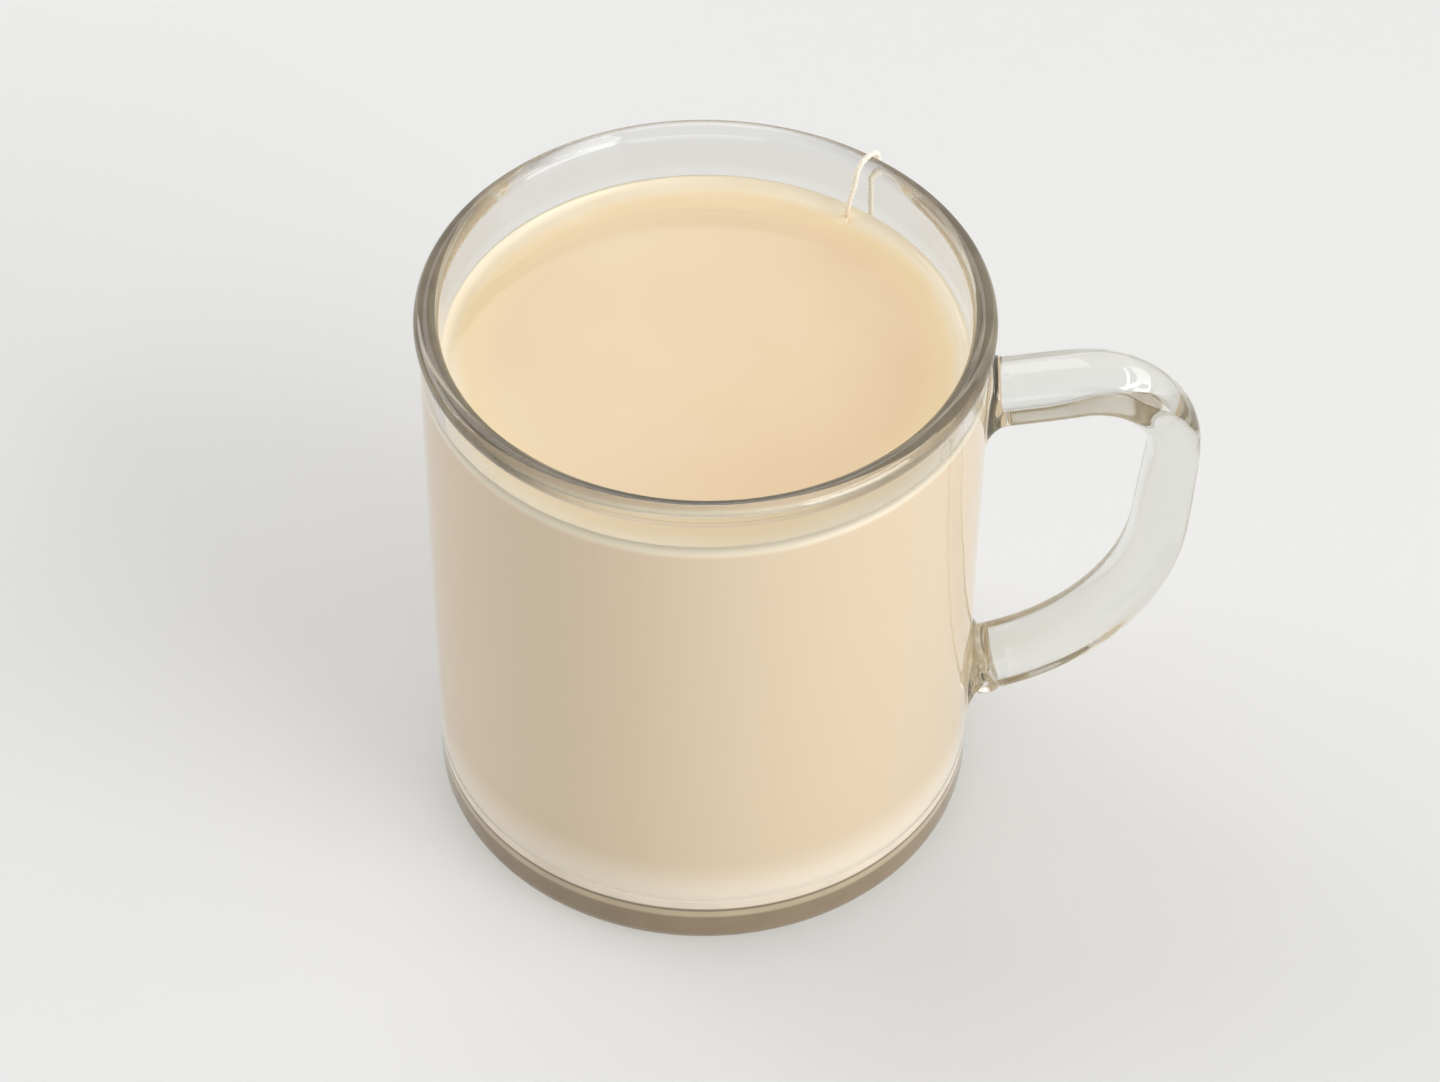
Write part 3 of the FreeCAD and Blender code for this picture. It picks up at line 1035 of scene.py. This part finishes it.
        grid.skin(in_hole)
        self._join_handle(grid, holes)
        for point in grid.points:
            self._wave(point)
        return mesh_object("mug_glass", grid.points, grid.faces, self.finish.material())

    def _wave(self, point: Vector) -> None:
        """Moves a point of the outside a very little, as pressed glass is never quite even.

        Args:
            point: The point, which is changed.
        """
        away = Vector((point.x, point.y, 0))
        inside = away.length < self.cup.inside_radius(point.z) + self.wave_margin
        inside = inside and point.z < self.cup.rim_centre[1]
        if inside or point.z < self.cup.heel_radius or not away.length:
            return
        ripples = noise.noise(point * self.ripples_to_wave / self.wave_length)
        shift = noise.noise(point / self.wave_length) + self.ripple_share * ripples
        point += away.normalized() * shift * self.wave_height

    def _join_handle(self, grid: TurnedMesh, holes: dict[Root, tuple[int, list[tuple[int, int]]]]) -> None:
        """Adds the handle's rings to the grid, from one hole to the other.

        Args:
            grid: The cup's grid, with its two holes.
            holes: Each hole's middle row and edge.
        """
        path = self.path()
        loops = {root: [grid.point(*spot) for spot in edge] for root, (_, edge) in holes.items()}
        rays = {}
        for root, (middle, _) in holes.items():
            height = grid.profile[middle][1]
            places = [grid.points[i] for i in loops[root]]
            rays[root] = [Vector(((p.z - height) * root.value, p.y)).normalized() for p in places]
        rings = []
        for step in range(self.handle_rings + 1):
            share = step / self.handle_rings
            distance = path.length * share
            centre, tangent = path.at(distance)
            outward = Vector((-tangent.z, 0, tangent.x))
            thickness = self.thickness(path, distance)
            ring = []
            for upper, lower in zip(rays[Root.UPPER], rays[Root.LOWER]):
                out, across = self.handle.section(tuple(upper.lerp(lower, share)), thickness)
                ring.append(centre + outward * out + Vector((0, across, 0)))
            rings.append((ring, tangent))
        first = self._root(grid, loops[Root.UPPER], rings[0][0], rings[0][1])
        last = self._root(grid, loops[Root.LOWER], rings[-1][0], -rings[-1][1])
        numbered = [loops[Root.UPPER]] + first + [grid.add(ring) for ring, _ in rings]
        numbered += last[::-1] + [loops[Root.LOWER]]
        for one, two in zip(numbered, numbered[1:]):
            grid.bridge(one, two)

    def _root(
        self, grid: TurnedMesh, loop: list[int], ring: Sequence[Vector], away: Vector
    ) -> list[list[int]]:
        """The blend between the wall and the handle: it leaves the wall flat and meets the arm straight.

        Args:
            grid: The cup's grid.
            loop: The hole's edge.
            ring: The handle's ring nearest the wall.
            away: The arm's direction, away from the wall.

        Returns:
            The numbers of the blend's points, ring by ring from the wall.
        """
        middle = sum((grid.points[i] for i in loop), Vector()) / len(loop)
        rings: list[list[Vector]] = [[] for _ in range(self.root_rings - 1)]
        for number, end in zip(loop, ring):
            start = grid.points[number]
            normal = Vector((start.x, start.y, 0)).normalized()
            inwards = middle - start
            inwards = (inwards - normal * inwards.dot(normal)).normalized()
            reach = (end - start).length * self.root_fullness
            for k, points in enumerate(rings, start=1):
                t = k / self.root_rings
                points.append(
                    start * (2 * t**3 - 3 * t**2 + 1)
                    + inwards * reach * (t**3 - 2 * t**2 + t)
                    + end * (3 * t**2 - 2 * t**3)
                    + away * reach * (t**3 - t**2)
                )
        return [grid.add(points) for points in rings]


# ---- The drink ------------------------------------------------------------


@dataclass
class Drink:
    """The milk tea, which reaches just into the glass so that no gap shows."""

    cup: CupShape = field(default_factory=CupShape)
    finish: MilkyTea = field(default_factory=MilkyTea)
    fill_drop: float = 10.3 * MM
    meniscus_radius: float = 1.8 * MM
    contact_deg: float = 30.0
    into_glass: float = 0.25 * MM
    columns: int = 240
    flat_rows: int = 10
    wall_rows: int = 30
    meniscus_rows: int = 14
    string_foot: Point2 = (21.5 * MM, 30.8 * MM)
    collar_top: float = 0.24 * MM
    collar_width: float = 1.5 * MM
    collar_height: float = 0.6 * MM
    collar_sink: float = 0.02 * MM
    collar_power: float = 2.4
    collar_lean: Point2 = (-1.3 * MM, -0.3 * MM)
    collar_rings: int = 10
    collar_steps: int = 32

    @property
    def level(self) -> float:
        """The height of the drink's flat surface."""
        return self.cup.height - self.fill_drop

    def profile(self) -> list[Point2]:
        """The turned profile, from the middle of the floor to the middle of the surface.

        Returns:
            Radius and height of each row.
        """
        c = self.cup
        climb_deg = 90 - self.contact_deg
        climb = math.radians(climb_deg)
        edge_height = self.level + self.meniscus_radius * (1 - math.cos(climb))
        edge_radius = c.inside_radius(edge_height)
        flat_radius = edge_radius - self.meniscus_radius * math.sin(climb)
        bottom = c.floor_thickness - self.into_glass
        top = (edge_radius + self.into_glass, edge_height + self.into_glass * math.tan(climb))
        bowl = (flat_radius, self.level + self.meniscus_radius)
        rows = [(0.0, bottom)]
        rows += run((0.0, bottom), (c.floor_corner[0], bottom), self.flat_rows)
        rows += arc(c.floor_corner, c.floor_corner_radius + self.into_glass, -90, 0, self.flat_rows)
        rows += run(rows[-1], top, self.wall_rows) + [top]
        rows += arc(bowl, self.meniscus_radius, climb_deg - 90, -90, self.meniscus_rows)
        rows += run((flat_radius, self.level), (0.0, self.level), self.wall_rows)
        return rows + [(0.0, self.level)]

    def build(self) -> bpy.types.Object:
        """Builds the piece.

        Returns:
            The finished piece.
        """
        grid = TurnedMesh(self.profile(), self.columns)
        grid.skin()
        self._collar(grid)
        return mesh_object("tea_body", grid.points, grid.faces, self.finish.material())

    def _collar(self, grid: TurnedMesh) -> None:
        """Adds the small cone of drink that climbs the string.

        Args:
            grid: The drink's grid.
        """
        foot = Vector((*self.string_foot, self.level))
        rings = []
        for k in range(self.collar_rings + 1):
            share = k / self.collar_rings
            radius = self.collar_top + (self.collar_width - self.collar_top) * share
            height = self.collar_height * (1 - share) ** self.collar_power - self.collar_sink * share
            middle = foot + Vector((*self.collar_lean, 0)) * share
            angles = [math.tau * i / self.collar_steps for i in range(self.collar_steps)]
            ring = [middle + Vector((radius * math.cos(a), radius * math.sin(a), height)) for a in angles]
            rings.append(grid.add(ring))
        for one, two in zip(rings, rings[1:]):
            grid.bridge(one, two)
        grid.faces += [tuple(rings[0]), tuple(rings[-1])]


# ---- The string and its tag -------------------------------------------------


STRING_ROUTE: list[Point3] = [
    (0.02150, 0.03080, 0.0863),
    (0.02150, 0.03080, 0.0887),
    (0.02250, 0.03125, 0.0926),
    (0.02300, 0.03106, 0.09715),
    (0.02605, 0.03478, 0.09715),
    (0.02610, 0.03474, 0.0924),
    (0.02625, 0.03445, 0.0850),
    (0.02710, 0.03376, 0.0754),
    (0.02707, 0.03367, 0.0650),
    (0.02754, 0.03341, 0.0544),
    (0.02716, 0.03353, 0.0452),
    (0.02716, 0.03353, 0.0400),
]


@dataclass
class BagString:
    """Cotton yarns twisted about the string's line, with a few loose fibres."""

    route: Sequence[Point3] = field(default_factory=lambda: list(STRING_ROUTE))
    finish: TwistedCotton = field(default_factory=TwistedCotton)
    diameter: float = 0.8 * MM
    length: float = 71.7 * MM
    yarns: int = 3
    yarn_radius: float = 0.27 * MM
    yarn_sides: int = 9
    lay_radius: float = 0.18 * MM
    pitch: float = 2.4 * MM
    step: float = 0.14 * MM
    fibres_per_area: float = 1.6e6
    fibre_length: float = 0.9 * MM
    fibre_radius: float = 0.012 * MM
    fibre_sides: int = 3
    fibre_lean: Point3 = (1.1, 1.1, 3.1)
    fibre_bow: Point2 = (0.25, 0.6)
    shortest_fibre: float = 0.35
    seed: int = 7

    @property
    def sizes(self) -> dict[str, float]:
        """The values of the node tree's inputs.

        Returns:
            Each value, by the input's name.
        """
        return {
            "Yarn Radius": self.yarn_radius,
            "Lay Radius": self.lay_radius,
            "Pitch": self.pitch,
            "Step": self.step,
            "Fibre Density": self.fibres_per_area,
            "Fibre Length": self.fibre_length,
            "Fibre Radius": self.fibre_radius,
        }

    def line(self) -> bpy.types.Object:
        """Lays the string's own line.

        Returns:
            A curve without any thickness.
        """
        curve = bpy.data.curves.new("string_line", "CURVE")
        curve.dimensions = "3D"
        curve.twist_mode = "MINIMUM"
        curve.resolution_u = 24
        spline = curve.splines.new("NURBS")
        spline.points.add(len(self.route) - 1)
        for point, place in zip(spline.points, self.route):
            point.co = (*place, 1.0)
        spline.order_u = 3
        spline.use_endpoint_u = True
        return linked("string_line", curve)

    def tree(self, material: bpy.types.Material) -> bpy.types.NodeTree:
        """The node tree that twists the yarns and sets loose fibres on them.

        Args:
            material: The finish that it gives them.

        Returns:
            The tree, with named inputs for its sizes.
        """
        tree = bpy.data.node_groups.new("twisted_yarns", "GeometryNodeTree")
        face = tree.interface
        face.new_socket("Line", in_out="INPUT", socket_type="NodeSocketGeometry")
        for name in self.sizes:
            face.new_socket(name, in_out="INPUT", socket_type="NodeSocketFloat")
        face.new_socket("Yarns", in_out="OUTPUT", socket_type="NodeSocketGeometry")
        g = Graph(tree)
        given = tree.nodes.new("NodeGroupInput")
        size = {socket.name: Wire(g, socket) for socket in given.outputs if socket.name}
        body = self._yarns(g, size)
        fuzz = self._fuzz(g, size, body)
        whole = g.node("GeometryNodeJoinGeometry", {}, {0: [body, fuzz]})
        whole = g.node("GeometryNodeRealizeInstances", {}, {0: whole})
        whole = g.node("GeometryNodeSetShadeSmooth", {}, {"Geometry": whole})
        whole = g.node("GeometryNodeSetMaterial", {}, {"Geometry": whole, "Material": material})
        g.node("NodeGroupOutput", {"is_active_output": True}, {0: whole})
        return tree

    @staticmethod
    def _tube(g: Graph, line: Wire, sides: int, radius: Wire) -> Wire:
        """Gives a line a round thickness, with closed ends.

        Args:
            g: The tree.
            line: The line.
            sides: How many sides it gets.
            radius: How thick it gets.

        Returns:
            The tube.
        """
        outline = {"Resolution": sides, "Radius": radius}
        outline = g.node("GeometryNodeCurvePrimitiveCircle", {"mode": "RADIUS"}, outline)
        tube = {"Curve": line, "Profile Curve": outline, "Fill Caps": True}
        return g.node("GeometryNodeCurveToMesh", {}, tube)

    def _yarns(self, g: Graph, size: dict[str, Wire]) -> Wire:
        """The yarns, each a tube that winds round the line.

        Args:
            g: The tree.
            size: Its inputs, by name.

        Returns:
            Their geometry.
        """
        line = {"Curve": size["Line"], "Length": size["Step"]}
        line = g.node("GeometryNodeResampleCurve", {"mode": "LENGTH"}, line)
        along = g.node("GeometryNodeSplineParameter", output="Length")
        tangent = g.node("GeometryNodeInputTangent")
        normal = g.node("GeometryNodeInputNormal")
        side = g.vector("CROSS_PRODUCT", tangent, normal)
        yarns = []
        for i in range(self.yarns):
            angle = along / size["Pitch"] * math.tau + math.tau * i / self.yarns
            parts = []
            for axis, wave in ((normal, "COSINE"), (side, "SINE")):
                amount = g.node("ShaderNodeMath", {"operation": wave}, {0: angle}) * size["Lay Radius"]
                scaled = {0: axis, "Scale": amount}
                parts.append(g.node("ShaderNodeVectorMath", {"operation": "SCALE"}, scaled))
            moved = {"Geometry": line, "Offset": g.vector("ADD", *parts)}
            moved = g.node("GeometryNodeSetPosition", {}, moved)
            yarns.append(self._tube(g, moved, self.yarn_sides, size["Yarn Radius"]))
        return g.node("GeometryNodeJoinGeometry", {}, {0: yarns})

    def _fuzz(self, g: Graph, size: dict[str, Wire], body: Wire) -> Wire:
        """Loose fibres that stand off the yarns.

        Args:
            g: The tree.
            size: Its inputs, by name.
            body: The yarns.

        Returns:
            The fibres, still instances.
        """
        spots = g.node(
            "GeometryNodeDistributePointsOnFaces",
            {"distribute_method": "RANDOM"},
            {"Mesh": body, "Density": size["Fibre Density"], "Seed": self.seed},
        )
        lean = g.node(
            "FunctionNodeRandomValue",
            {"data_type": "FLOAT_VECTOR"},
            {0: tuple(-turn for turn in self.fibre_lean), 1: self.fibre_lean, "Seed": self.seed},
        )
        turn = Wire(g, spots.socket.node.outputs["Rotation"])
        turned = g.node("FunctionNodeRotateRotation", {"rotation_space": "LOCAL"}, {0: turn, 1: lean})
        reach = size["Fibre Length"]
        bow = {"X": reach * self.fibre_bow[0], "Z": reach * self.fibre_bow[1]}
        hair = {
            "Resolution": 4,
            "Start": (0, 0, 0),
            "Middle": g.node("ShaderNodeCombineXYZ", {}, bow),
            "End": g.node("ShaderNodeCombineXYZ", {}, {"Z": reach}),
        }
        hair = g.node("GeometryNodeCurveQuadraticBezier", {}, hair)
        hair = self._tube(g, hair, self.fibre_sides, size["Fibre Radius"])
        lengths = {2: self.shortest_fibre, 3: 1.0, "Seed": self.seed + 1}
        lengths = g.node("FunctionNodeRandomValue", {"data_type": "FLOAT"}, lengths, 1)
        placed = {"Points": spots, "Instance": hair, "Rotation": turned, "Scale": lengths}
        return g.node("GeometryNodeInstanceOnPoints", {}, placed)

    @staticmethod
    def _evaluated(thing: bpy.types.Object) -> bpy.types.Mesh:
        """A mesh of the object as its modifiers leave it."""
        bpy.context.view_layer.update()
        return bpy.data.meshes.new_from_object(thing.evaluated_get(bpy.context.evaluated_depsgraph_get()))

    def build(self, tag: bpy.types.Object) -> bpy.types.Object:
        """Args:
            tag: The piece on the string's end; not used.

        Returns:
            The finished piece.
        """
        line = self.line()
        plain = self._evaluated(line)
        bpy.data.meshes.remove(plain)
        modifier = line.modifiers.new("twist", "NODES")
        modifier.node_group = self.tree(self.finish.material())
        for item in modifier.node_group.interface.items_tree:
            if item.name in self.sizes:
                modifier[item.identifier] = self.sizes[item.name]
        mesh = self._evaluated(line)
        mesh.name = "string_yarns"
        bpy.data.objects.remove(line)
        piece = linked("string_yarns", mesh)
        return piece


@dataclass
class StringTag:
    """A blank card tag: one strip folded over the string's end, with its leaves glued."""

    top: Vector = field(default_factory=lambda: Vector(STRING_ROUTE[-1]))
    finish: PlainCard = field(default_factory=PlainCard)
    width: float = 24.0 * MM
    height: float = 27.0 * MM
    thickness: float = 0.9 * MM
    card: float = 0.26 * MM
    corner_cut: float = 5.0 * MM
    corner_radius: float = 1.0 * MM
    pinch_share: float = 0.45
    pinch_power: float = 0.7
    curl: float = 0.35 * MM
    curl_turn: float = 2.2
    crease_deg: float = 40.0
    columns: int = 28
    rows: int = 34
    fold_steps: int = 8

    def half_width(self, drop: float) -> float:
        """Half the tag's width, less where its corners are cut or rounded.

        Args:
            drop: How far below its top.

        Returns:
            The half width there.
        """
        half = self.width / 2
        if drop < self.corner_cut:
            return half - self.corner_cut + drop
        left = self.height - drop
        if left < self.corner_radius:
            short = self.corner_radius - left
            return half - self.corner_radius + math.sqrt(self.corner_radius**2 - short**2)
        return half

    def strip(self) -> list[Point2]:
        """The folded strip from its side.

        Returns:
            How far out and how far below the top each row is.
        """
        middle = (self.thickness - self.card) / 2
        leaf: list[Point2] = []
        for k in range(self.rows + 1):
            drop = self.height - (self.height - middle) * k / self.rows
            pinch = 1 - self.pinch_share * (drop / self.height) ** self.pinch_power
            leaf.append((-middle * pinch, drop))
        turns = [math.pi * k / self.fold_steps for k in range(1, self.fold_steps)]
        fold = [(-middle * math.cos(turn), middle * (1 - math.sin(turn))) for turn in turns]
        return leaf + fold + [(-out, drop) for out, drop in leaf[::-1]]

    def build(self) -> bpy.types.Object:
        """Builds the piece.

        Returns:
            The finished piece.
        """
        strip = self.strip()
        facing = math.atan2(self.top.y, self.top.x) - math.pi / 2
        turn = Matrix.Translation(self.top) @ Matrix.Rotation(facing, 4, "Z")
        points, faces = [], []
        for side in (1, -1):
            for index, (out, drop) in enumerate(strip):
                before = strip[max(index - 1, 0)]
                after = strip[min(index + 1, len(strip) - 1)]
                along = Vector((after[0] - before[0], -(after[1] - before[1]))).normalized()
                normal = Vector((-along.y, along.x)) * side * self.card / 2
                half = self.half_width(max(drop, 0.0))
                for k in range(self.columns + 1):
                    across = half * (2 * k / self.columns - 1)
                    bend = math.cos(across / self.width * self.curl_turn)
                    curl = self.curl * (drop / self.height) ** 2 * bend
                    points.append(turn @ Vector((across, out + normal.x + curl, -drop + normal.y)))
        stride = self.columns + 1
        count = len(strip) * stride
        for row in range(len(strip) - 1):
            for k in range(self.columns):
                a = row * stride + k
                faces.append((a, a + 1, a + stride + 1, a + stride))
                faces.append((count + a, count + a + stride, count + a + stride + 1, count + a + 1))
        rim = [k for k in range(stride)]
        rim += [row * stride + self.columns for row in range(1, len(strip))]
        rim += [(len(strip) - 1) * stride + k for k in range(self.columns - 1, -1, -1)]
        rim += [row * stride for row in range(len(strip) - 2, 0, -1)]
        for a, b in zip(rim, rim[1:] + rim[:1]):
            faces.append((b, a, count + a, count + b))
        tag = mesh_object("tag_card", points, faces, self.finish.material())
        tag.data.set_sharp_from_angle(angle=math.radians(self.crease_deg))
        return tag


# ---- The studio -----------------------------------------------------------


@dataclass
class Softbox:
    """An area lamp that faces the mug."""

    name: str
    azimuth_deg: float
    elevation_deg: float
    distance: float
    width: float
    height: float
    power: float

    def build(self, target: Vector) -> None:
        """Hangs the lamp.

        Args:
            target: Where it faces.
        """
        lamp = bpy.data.lights.new(self.name, "AREA")
        lamp.shape = "RECTANGLE"
        lamp.size = self.width
        lamp.size_y = self.height
        lamp.energy = self.power
        holder = linked(self.name, lamp)
        azimuth, elevation = math.radians(self.azimuth_deg), math.radians(self.elevation_deg)
        flat = math.cos(elevation)
        away = Vector((math.sin(azimuth) * flat, -math.cos(azimuth) * flat, math.sin(elevation)))
        holder.location = target + away * self.distance
        holder.rotation_euler = away.to_track_quat("Z", "Y").to_euler()


@dataclass
class Studio:
    """The floor, the lamps, the surroundings and the camera."""

    target: Vector = field(default_factory=lambda: Vector((0.0, 0.0, 0.045)))
    floor_half: float = 3.0
    floor_gap: float = 0.02 * MM
    floor: PaleFloor = field(default_factory=PaleFloor)
    soft_light: float = 0.51
    horizon: Colour = srgb(222, 221, 218)
    overhead: Colour = srgb(255, 255, 255)
    overhead_from: float = 0.5
    camera_elevation_deg: float = 45.833
    camera_distance: float = 0.7
    camera_pan_deg: float = -0.199
    camera_tilt_deg: float = 0.126
    camera_roll_deg: float = -0.365
    lens_mm: float = 113.24
    sensor_mm: float = 36.0

    def lamps(self) -> list[Softbox]:
        """The lamps, each named for its work.

        Returns:
            The lamps.
        """
        return [
            Softbox("window_light", 55.0, 20.0, 1.3, 0.9, 0.6, 8.2),
            Softbox("window_gap", 70.0, 46.0, 1.2, 1.0, 0.1, 2.4),
            Softbox("back_light", -155.0, 55.0, 0.8, 0.6, 0.4, 1.3),
            Softbox("left_fill", -115.0, 25.0, 1.3, 0.9, 0.6, 5.2),
            Softbox("front_fill", 5.0, 12.0, 1.5, 1.4, 0.4, 2.4),
        ]

    def build(self) -> None:
        """Sets up everything round the mug."""
        for lamp in self.lamps():
            lamp.build(self.target)
        self._floor()
        self._surroundings()
        self._camera()
        bpy.context.scene.view_settings.view_transform = "Standard"

    def _floor(self) -> None:
        """Lays the floor."""
        h, z = self.floor_half, -self.floor_gap
        corners = [(-h, -h, z), (h, -h, z), (h, h, z), (-h, h, z)]
        mesh_object("floor", corners, [(0, 1, 2, 3)], self.floor.material())

    def _surroundings(self) -> None:
        """Soft light from all round, behind which the camera, glass and gloss see one pale backdrop."""
        world = bpy.data.worlds.new("studio")
        world.use_nodes = True
        world.node_tree.nodes.clear()
        bpy.context.scene.world = world
        g = Graph(world.node_tree)
        way = g.node("ShaderNodeTexCoord", output="Generated")
        up = g.node("ShaderNodeSeparateXYZ", {}, {0: way}, "Z")
        backdrop = g.blend(g.ramp(up, 0.0, self.overhead_from), self.horizon, self.overhead)
        soft = (self.soft_light, self.soft_light, self.soft_light, 1.0)
        seen = g.ray("Is Camera Ray").at_least(g.ray("Is Glossy Ray")).at_least(g.ray("Is Transmission Ray"))
        light = {"Color": g.blend(seen, soft, backdrop), "Strength": 1.0}
        g.node("ShaderNodeOutputWorld", {}, {"Surface": g.node("ShaderNodeBackground", {}, light)})

    def _camera(self) -> None:
        """Sets the camera up to look down on the mug, handle to the right."""
        lens = bpy.data.cameras.new("camera")
        lens.lens = self.lens_mm
        lens.sensor_width = self.sensor_mm
        lens.clip_start = 0.01
        lens.clip_end = 20.0
        elevation = math.radians(self.camera_elevation_deg)
        right = Vector((1, 0, 0))
        ahead = Vector((0, math.cos(elevation), -math.sin(elevation)))
        up = right.cross(ahead)
        place = self.target - ahead * self.camera_distance
        turns = ((up, self.camera_pan_deg), (right, self.camera_tilt_deg), (ahead, self.camera_roll_deg))
        for axis, angle_deg in turns:
            turn = Matrix.Rotation(math.radians(angle_deg), 3, axis)
            for side in (right, up, ahead):
                side.rotate(turn)
        holder = linked("camera", lens)
        holder.matrix_world = Matrix.Translation(place) @ Matrix((right, up, -ahead)).transposed().to_4x4()
        bpy.context.scene.camera = holder


# ---- All pieces -----------------------------------------------------------


def settle(piece: bpy.types.Object, node: str) -> None:
    """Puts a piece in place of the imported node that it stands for.

    Args:
        piece: The finished piece.
        node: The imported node.
    """
    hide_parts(node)
    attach(piece, "root")
    LOG.info("%s: %d faces, stands for %s", piece.name, len(piece.data.polygons), node)


def main() -> None:
    """Builds every piece and the studio round them."""
    logging.basicConfig(level=logging.INFO, format="%(name)s: %(message)s")
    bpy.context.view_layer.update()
    settle(GlassMug().build(), "glass_mug")
    settle(Drink().build(), "milk_tea")
    tag = StringTag().build()
    settle(tag, "string_tag")
    settle(BagString().build(tag), "bag_string")
    Studio().build()


if __name__ == "__main__":
    main()
